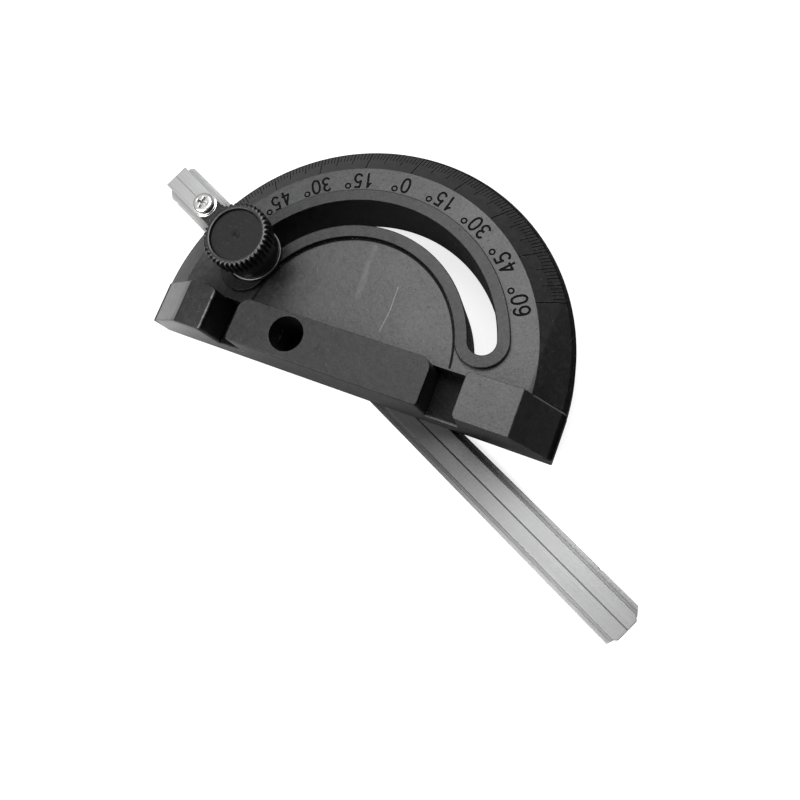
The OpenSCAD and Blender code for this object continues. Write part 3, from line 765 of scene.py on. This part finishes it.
# centre lines of the digits, in a unit box
GLYPHS = {
    "0": [(oval(0.5, 0.5, 0.5, 0.5, 40, 0.88), True)],
    "1": [([(0.64, -0.07), (0.64, 1.07)], False), ([(0.12, 0.70), (0.34, 0.76), (0.52, 0.88), (0.66, 1.03)], False)],
    "3": [(arc(0.47, 0.745, 0.43, 0.255, 165, -90, 16) + [(0.30, 0.49)], False), ([(0.34, 0.505), (0.48, 0.505)] + arc(0.48, 0.255, 0.50, 0.25, 80, -162, 18), False)],
    "4": [([(0.72, -0.07), (0.72, 1.07)], False), ([(0.70, 1.0), (0.02, 0.27)], False), ([(-0.10, 0.27), (1.08, 0.27)], False)],
    "5": [([(0.97, 1.0), (0.24, 1.0), (0.12, 0.50)], False), (arc(0.47, 0.32, 0.50, 0.32, 148, -158, 22), False)],
    "6": [(oval(0.5, 0.31, 0.5, 0.31, 32), True), (arc(0.53, 0.50, 0.53, 0.50, 40, 180, 16) + [(0.0, 0.32)], False)],
    "o": [(oval(0.34, 0.90, 0.34, 0.175, 20), True)],
}
head = build_head()
engrave(head)
shade(head)
place(head, HEAD)
finish_piece(head, "protractor_head_moulding", "head", M_HEAD, ["protractor_head"])


# ------------------------------------------------------------------ guide bar
def build_bar():
    x0, x1 = bar_lo.x, bar_hi.x
    h = bar_hi.z
    bw, w, ft = (bar_hi.y - bar_lo.y) / 2, 5.5, 2.8
    flange = [(x0 + 1.6, bw), (x0, bw - 1.4), (x0, -bw + 3.2), (x0 + 4.6, -bw), (x1 - 1.4, -bw), (x1 - 0.6, -bw + 2.6),
              (x1 - 0.6, bw - 2.6), (x1 - 2.6, bw)]
    body = [(x0 + 0.02, w), (x0 + 0.02, -w), (x1 - 1, -w), (x1, -w + 1), (x1, w - 1.5), (x1 - 1.5, w)]
    bm = prism(flange, 0, ft)
    bevel(bm, select_edges(bm, lambda a, b: abs(a.z - b.z) < 1e-6), 0.22, 2)
    bar = obj_from_bm(bm, "bar")
    bm = prism(body, 0.3, h)
    bevel(bm, select_edges(bm, lambda a, b: abs(a.z - b.z) < 1e-6 and a.z > 1), 0.28, 3)
    boolean(bar, obj_from_bm(bm, "body"), "UNION")
    # scribed centre line, a shallow vee
    boolean(bar, obj_from_bm(loft([[(x, -0.32, h + 0.05), (x, 0, h - 0.32), (x, 0.32, h + 0.05)] for x in (x0 - 1, x1 + 1)]), "c"))
    # extrusion lines on the flange tops
    for y in (6.55, -6.55):
        boolean(bar, obj_from_bm(loft([[(x, y - 0.12, ft + 0.05), (x, y, ft - 0.10), (x, y + 0.12, ft + 0.05)] for x in (x0 - 1, x1 + 1)]), "c"))
    # countersunk pivot hole and tapped holes
    boolean(bar, obj_from_bm(lathe_solid([(7.25, -0.5), (3.95, 2.8), (3.95, h + 1)], 0, 0, 72), "c"))
    boolean(bar, obj_from_bm(lathe_solid([(4.2, -0.75), (3.05, 0.4), (3.05, h + 1)], KX, 0, 48), "c"))
    boolean(bar, obj_from_bm(lathe_solid([(3.3, -0.4), (2.52, 0.4), (2.52, h + 1)], SX, 0, 48), "c"))
    # handling nicks in the edges
    for x, y, z, r in ((38.5, -5.55, h, 0.75), (88.0, -5.5, h, 0.5), (90.5, -5.55, h, 0.6), (93.0, -5.5, h, 0.45), (112, 7.9, ft, 0.6), (-111, -7.9, ft, 0.6), (60, -8.0, ft, 0.5), (21, 5.5, h, 0.4)):
        b = bmesh.new()
        bmesh.ops.create_icosphere(b, subdivisions=2, radius=r, matrix=Matrix.Translation((x, y, z + r * 0.35)) @ Matrix.Diagonal((1.9, 0.8, 0.8, 1)))
        boolean(bar, obj_from_bm(b, "c"))
    tidy(bar, 0.003, 0.05)
    return bar


bar = build_bar()
shade(bar)
place(bar)
finish_piece(bar, "guide_bar_drawn", "bar", M_BAR, ["guide_bar"])


# ------------------------------------------------------------------ clamping knob
def build_knob():
    z = kb_lo.z
    H = kb_hi.z - kb_lo.z
    C = 7.8
    ribs, per = 40, 8
    n = ribs * per
    R = (kb_hi.x - kb_lo.x) / 2
    tooth = [0.0, 0.35, 0.92, 1.0, 1.0, 0.92, 0.35, 0.0]
    # (inner radius, height, how far the ribs stand out)
    rows = [(3.02, 0, 0), (9.4, 0, 0), (9.95, 0.15, 0), (10.2, 0.55, 0), (10.2, 1.9, 0), (10.0, 2.3, 0), (9.75, 2.9, 0), (9.65, 3.4, 0),
            (9.72, 5.5, 0), (9.85, H - C - 1.1, 0), (10.05, H - C - 0.7, 0), (10.6, H - C - 0.25, 0), (11.0, H - C, 0.0), (11.12, H - C + 0.12, 0.35),
            (11.15, H - C + 0.5, 0.85), (11.15, H - C + 1.0, 1.0), (11.15, H - 3.0, 1.0), (11.15, H - 0.95, 1.0), (11.12, H - 0.6, 0.9),
            (11.05, H - 0.32, 0.72), (10.9, H - 0.12, 0.45), (10.7, H - 0.03, 0.2), (10.45, H, 0), (9.95, H, 0), (9.72, H - 0.08, 0), (9.6, H - 0.3, 0),
            (9.6, H - 2.2, 0), (3.02, H - 2.2, 0)]
    loops = []
    for r, h, a in rows:
        loop = []
        for i in range(n):
            th = 2 * math.pi * i / n
            rr = r + (R - 11.15) * tooth[i % per] * a
            loop.append((KX + rr * math.cos(th), rr * math.sin(th), z + h))
        loops.append(loop)
    o = obj_from_bm(loft(loops, close=True), "knob")
    return o


knob = shade(build_knob(), 38)
place(knob)
finish_piece(knob, "knob_ribbed", "knob", M_KNOB, ["knob_body"])

cz = box_mm("knob_cap")[0].z
cap = obj_from_bm(lathe([(0.25, cz), (9.45, cz), (9.56, cz + 0.12), (9.56, cz + 0.95), (9.4, cz + 1.12), (9.0, cz + 1.16), (2.4, cz + 1.2), (1.55, cz + 1.2), (1.38, cz + 1.3), (1.3, cz + 1.48),
                         (1.15, cz + 1.55), (0.85, cz + 1.55), (0.72, cz + 1.45), (0.68, cz + 1.1), (0.25, cz + 1.02)], KX, 0, 128), "cap")
shade(cap, 35)
place(cap)
finish_piece(cap, "knob_cap_disc", "knob", M_CAP, ["knob_cap"])


def threaded(cx, cy, z1, z2, r, pitch, n=36, chamfer=0.7):
    """A closed rod with a helical ridge, as one skin of stacked loops."""
    core = r - 0.61 * pitch
    steps = int((z2 - z1) / pitch * 8)
    loops = []
    for k in range(steps + 1):
        z = z1 + (z2 - z1) * k / steps
        lim = min(1.0, (z - z1) / chamfer + 0.05, (z2 - z) / chamfer + 0.05)
        loop = []
        for i in range(n):
            ph = (z / pitch - i / n) % 1.0
            t = max(0.0, 1 - abs(ph - 0.5) / 0.42)
            rr = core + (r - core) * min(1.0, t * 1.15)
            rr = min(rr, core - 0.35 + (r - core + 0.35) * lim)
            loop.append((cx + rr * math.cos(2 * math.pi * i / n), cy + rr * math.sin(2 * math.pi * i / n), z))
        loops.append(loop)
    return loft(loops)


sl, sh = box_mm("knob_stud")
stud = obj_from_bm(threaded(KX, 0, sl.z, sh.z, (sh.x - sl.x) / 2, 1.0), "stud")
shade(stud, 50)
place(stud)
finish_piece(stud, "knob_stud_threaded", "knob", M_ZINC, ["knob_stud"])


def ring(node, name, body, slot, mat, r_in, soft, n=128):
    lo, hi = box_mm(node)
    cx, cy, r = (lo.x + hi.x) / 2, (lo.y + hi.y) / 2, (hi.x - lo.x) / 2
    prof = rounded([(r_in, lo.z), (r, lo.z), (r, hi.z), (r_in, hi.z)], [soft * 0.6, soft, soft, soft * 0.6], n=4)
    o = obj_from_bm(lathe(prof, cx, cy, n), name)
    shade(o, 40)
    place(o)
    return finish_piece(o, name, body, mat, [node])


ring("knob_washer", "knob_washer_rolled", "clamp_washer", "washer_steel", M_WASH, 3.25, 0.55)
ring("pivot_washer", "pivot_washer_nylon", "bar", "nylon", M_NYLON, 4.05, 0.12)
ring("pointer_washer", "pointer_washer_steel", "bar", "zinc_steel", M_ZINC, 2.7, 0.2)
ring("pivot_insert", "pivot_insert_brass", "head", "insert_brass", M_BRASS, 3.02, 0.2, 64)


# ------------------------------------------------------------------ pointer and its screw
def build_pointer():
    hb = bar_hi.z
    tip, riser = pt_hi.x, -80.9
    bm = prism_y([(SX - 5, hb), (riser, hb), (riser, ZO - 0.6), (tip, ZO + 7.3), (tip - 0.4, ZO + 8.4), (riser - 1.5, ZO - 0.1),
                  (riser - 1.5, hb + 2.8), (SX, hb + 2.8), (SX, hb + 1.2), (SX - 5, hb + 1.2)], -5, 5)
    o = obj_from_bm(bm, "pointer")
    plan = []
    for i in range(25):
        a = math.pi / 2 + math.pi * i / 24
        plan.append((SX + 4.9 * math.cos(a), 4.9 * math.sin(a)))
    plan += [(-79, -4.9), (tip + 1, -0.8), (tip + 1, 0.8), (-79, 4.9)]
    boolean(o, obj_from_bm(prism(plan, -2, 60), "c"), "INTERSECT")
    boolean(o, obj_from_bm(prism(circle(SX, 0, 5.9, 72), hb + 1.2, hb + 30), "c"))
    boolean(o, obj_from_bm(prism(circle(SX, 0, 2.7, 48), 0, hb + 30), "c"))
    tidy(o, 0.004, 0.05)
    bm = bmesh.new()
    bm.from_mesh(o.data)
    bevel(bm, select_edges(bm, lambda a, b: min(a.z, b.z) > hb + 1.9, 30), 0.28, 3)
    bm.to_mesh(o.data)
    bm.free()
    return o


pointer = build_pointer()
shade(pointer)
place(pointer)
finish_piece(pointer, "pointer_moulded", "bar", M_POINT, ["pointer"])


def build_screw():
    hb = bar_hi.z
    prof = [(1.6, 0.4), (2.45, 1.1), (2.5, hb + 2.0), (4.3, hb + 2.0), (4.62, hb + 2.1), (4.78, hb + 2.35)]
    for a in range(0, 91, 9):
        prof.append((max(3.2 + 1.6 * math.cos(math.radians(a)), 0.05), hb + 3.2 + 1.6 * math.sin(math.radians(a))))
    prof.append((1.2, hb + 4.84))
    bm = lathe_solid(prof, SX, 0, 72)
    o = obj_from_bm(bm, "screw")
    for a in (20, 110):
        pts = [(-2.7, 1.2), (-2.55, -0.5), (-0.8, -2.5), (0.8, -2.5), (2.55, -0.5), (2.7, 1.2)]
        m = Matrix.Translation((SX, 0, hb + 5)) @ Matrix.Rotation(math.radians(a), 4, "Z")
        c = loft([[(x, -0.55, z) for x, z in pts], [(x, 0.55, z) for x, z in pts]])
        boolean(o, obj_from_bm(c, "c", m))
    tidy(o, 0.003, 0.05)
    bm = bmesh.new()
    bm.from_mesh(o.data)
    bevel(bm, select_edges(bm, lambda a, b: min(a.z, b.z) > hb + 4.0 and max(Vector((a.x - SX, a.y)).length, Vector((b.x - SX, b.y)).length) < 3.3, 30), 0.12, 2)
    bm.to_mesh(o.data)
    bm.free()
    return o


screw = build_screw()
shade(screw, 35)
place(screw)
finish_piece(screw, "pointer_screw_cross", "bar", M_ZINC, ["pointer_screw"])


# ------------------------------------------------------------------ small fasteners kept from the frame, with finer materials
for node, mat in (("pivot_screw", M_ZINC), ("rod_set_screw", M_BLACK), ("set_screw_insert", M_BRASS)):
    o = frame["nodes"][node]
    for i in range(len(o.material_slots)):
        o.material_slots[i].material = mat
    if not o.material_slots:
        o.data.materials.append(mat)


# ------------------------------------------------------------------ floor, light, camera
bm = bmesh.new()
bmesh.ops.create_grid(bm, x_segments=2, y_segments=2, size=4.0)
floor = obj_from_bm(bm, "floor")
floor.location.z = -0.00005
fm = Nodes("floor_white")
# the camera sees white paper; reflections see it dimmer, and dimmer still towards +X, painted light as in a room with
# one bright side, plus a painted pool of light on the floor to the front left of the head that brightens what reflects
# it
fc = fm.node("ShaderNodeTexCoord").outputs["Object"]
away = fm.node("ShaderNodeVectorMath", {0: fc, 1: (0.86, 0.50, 0.0)}, operation="DOT_PRODUCT").outputs["Value"]
light_pool_dist = fm.node("ShaderNodeVectorMath", {0: fc, 1: (-0.105, -0.075, 0.0)}, operation="DISTANCE").outputs["Value"]
dim = fm.math("ADD", fm.ramp(away, -0.06, 0.22, 0.26, 0.13), fm.ramp(light_pool_dist, 0.03, 0.095, 0.70, 0.0))
seen = fm.node("ShaderNodeLightPath").outputs["Is Camera Ray"]
fm.put(fm.p.inputs["Base Color"], fm.mix(seen, fm.node("ShaderNodeCombineColor", {"Red": dim, "Green": dim, "Blue": dim}).outputs[0], (0.40, 0.40, 0.40)))
fm.put(fm.p.inputs["Emission Color"], (1.0, 1.0, 1.0))
fm.put(fm.p.inputs["Emission Strength"], fm.math("MULTIPLY", seen, 0.76))
fm.put(fm.p.inputs["Roughness"], 0.75)
fm.put(fm.p.inputs["Specular IOR Level"], 0.15)
floor.data.materials.append(fm.mat)


def area(name, loc, target, size, power, size_y=None):
    d = bpy.data.lights.new(name, "AREA")
    d.energy = power
    d.size = size
    if size_y:
        d.shape = "RECTANGLE"
        d.size_y = size_y
    o = bpy.data.objects.new(name, d)
    scene.collection.objects.link(o)
    o.location = loc
    o.rotation_mode = "QUATERNION"
    o.rotation_quaternion = (Vector(target) - Vector(loc)).to_track_quat("-Z", "Y")
    return o


area("key", (-0.24, 0.35, 1.0), (0.0, 0.0, 0.0), 0.75, 8.2, 0.60)
area("fill", (-0.12, -0.68, 0.98), (0.0, 0.0, 0.0), 1.0, 13, 0.8)

world = bpy.data.worlds.new("studio")
scene.world = world
world.use_nodes = True
wt = world.node_tree
wt.nodes.clear()
wo = wt.nodes.new("ShaderNodeOutputWorld")
wb = wt.nodes.new("ShaderNodeBackground")
wt.links.new(wb.outputs[0], wo.inputs[0])
tc = wt.nodes.new("ShaderNodeTexCoord")


def world_dot(vector, lo, hi, a, b):
    """Brightness from a to b as the view direction turns towards a vector."""
    v = wt.nodes.new("ShaderNodeVectorMath")
    v.operation = "DOT_PRODUCT"
    wt.links.new(tc.outputs["Generated"], v.inputs[0])
    v.inputs[1].default_value = vector
    r = wt.nodes.new("ShaderNodeMapRange")
    r.interpolation_type = "SMOOTHSTEP"
    wt.links.new(v.outputs["Value"], r.inputs[0])
    for k, x in zip((1, 2, 3, 4), (lo, hi, a, b)):
        r.inputs[k].default_value = x
    return r.outputs[0]


side = world_dot((-0.90, 0.44, 0.0), -0.9, 0.9, 0.03, 0.42)
top = world_dot((0.0, 0.0, 1.0), 0.35, 1.0, 0.0, 0.45)
add = wt.nodes.new("ShaderNodeMath")
add.operation = "ADD"
wt.links.new(side, add.inputs[0])
wt.links.new(top, add.inputs[1])
wt.links.new(add.outputs[0], wb.inputs["Color"])
wb.inputs["Strength"].default_value = 1.0
# seen directly, the room is as pale as the floor
pale = wt.nodes.new("ShaderNodeBackground")
pale.inputs["Color"].default_value = (0.86, 0.86, 0.86, 1.0)
path = wt.nodes.new("ShaderNodeLightPath")
room = wt.nodes.new("ShaderNodeMixShader")
wt.links.new(path.outputs["Is Camera Ray"], room.inputs[0])
wt.links.new(wb.outputs[0], room.inputs[1])
wt.links.new(pale.outputs[0], room.inputs[2])
wt.links.new(room.outputs[0], wo.inputs[0])

scene.view_settings.view_transform = "Standard"
scene.view_settings.look = "None"
scene.view_settings.exposure = 0.0

cam_data = bpy.data.cameras.new("camera")
cam = bpy.data.objects.new("camera", cam_data)
scene.collection.objects.link(cam)
cam_data.sensor_width = 36.0
cam_data.lens = 761.85 * 36.0 / 800.0
cam_data.shift_x = (400.0 - 375.34) / 800.0
cam_data.shift_y = (354.68 - 400.0) / 800.0
view = Matrix(((0.66617130, -0.66017882, 0.34695781), (0.71083995, 0.70281409, -0.02754859), (-0.22565984, 0.26498355, 0.93747605))).to_4x4()
cam.matrix_world = Matrix.Translation((0.10312827, -0.00210947, 0.27453645)) @ view
scene.camera = cam
cam_data.clip_start = 0.01
cam_data.clip_end = 20
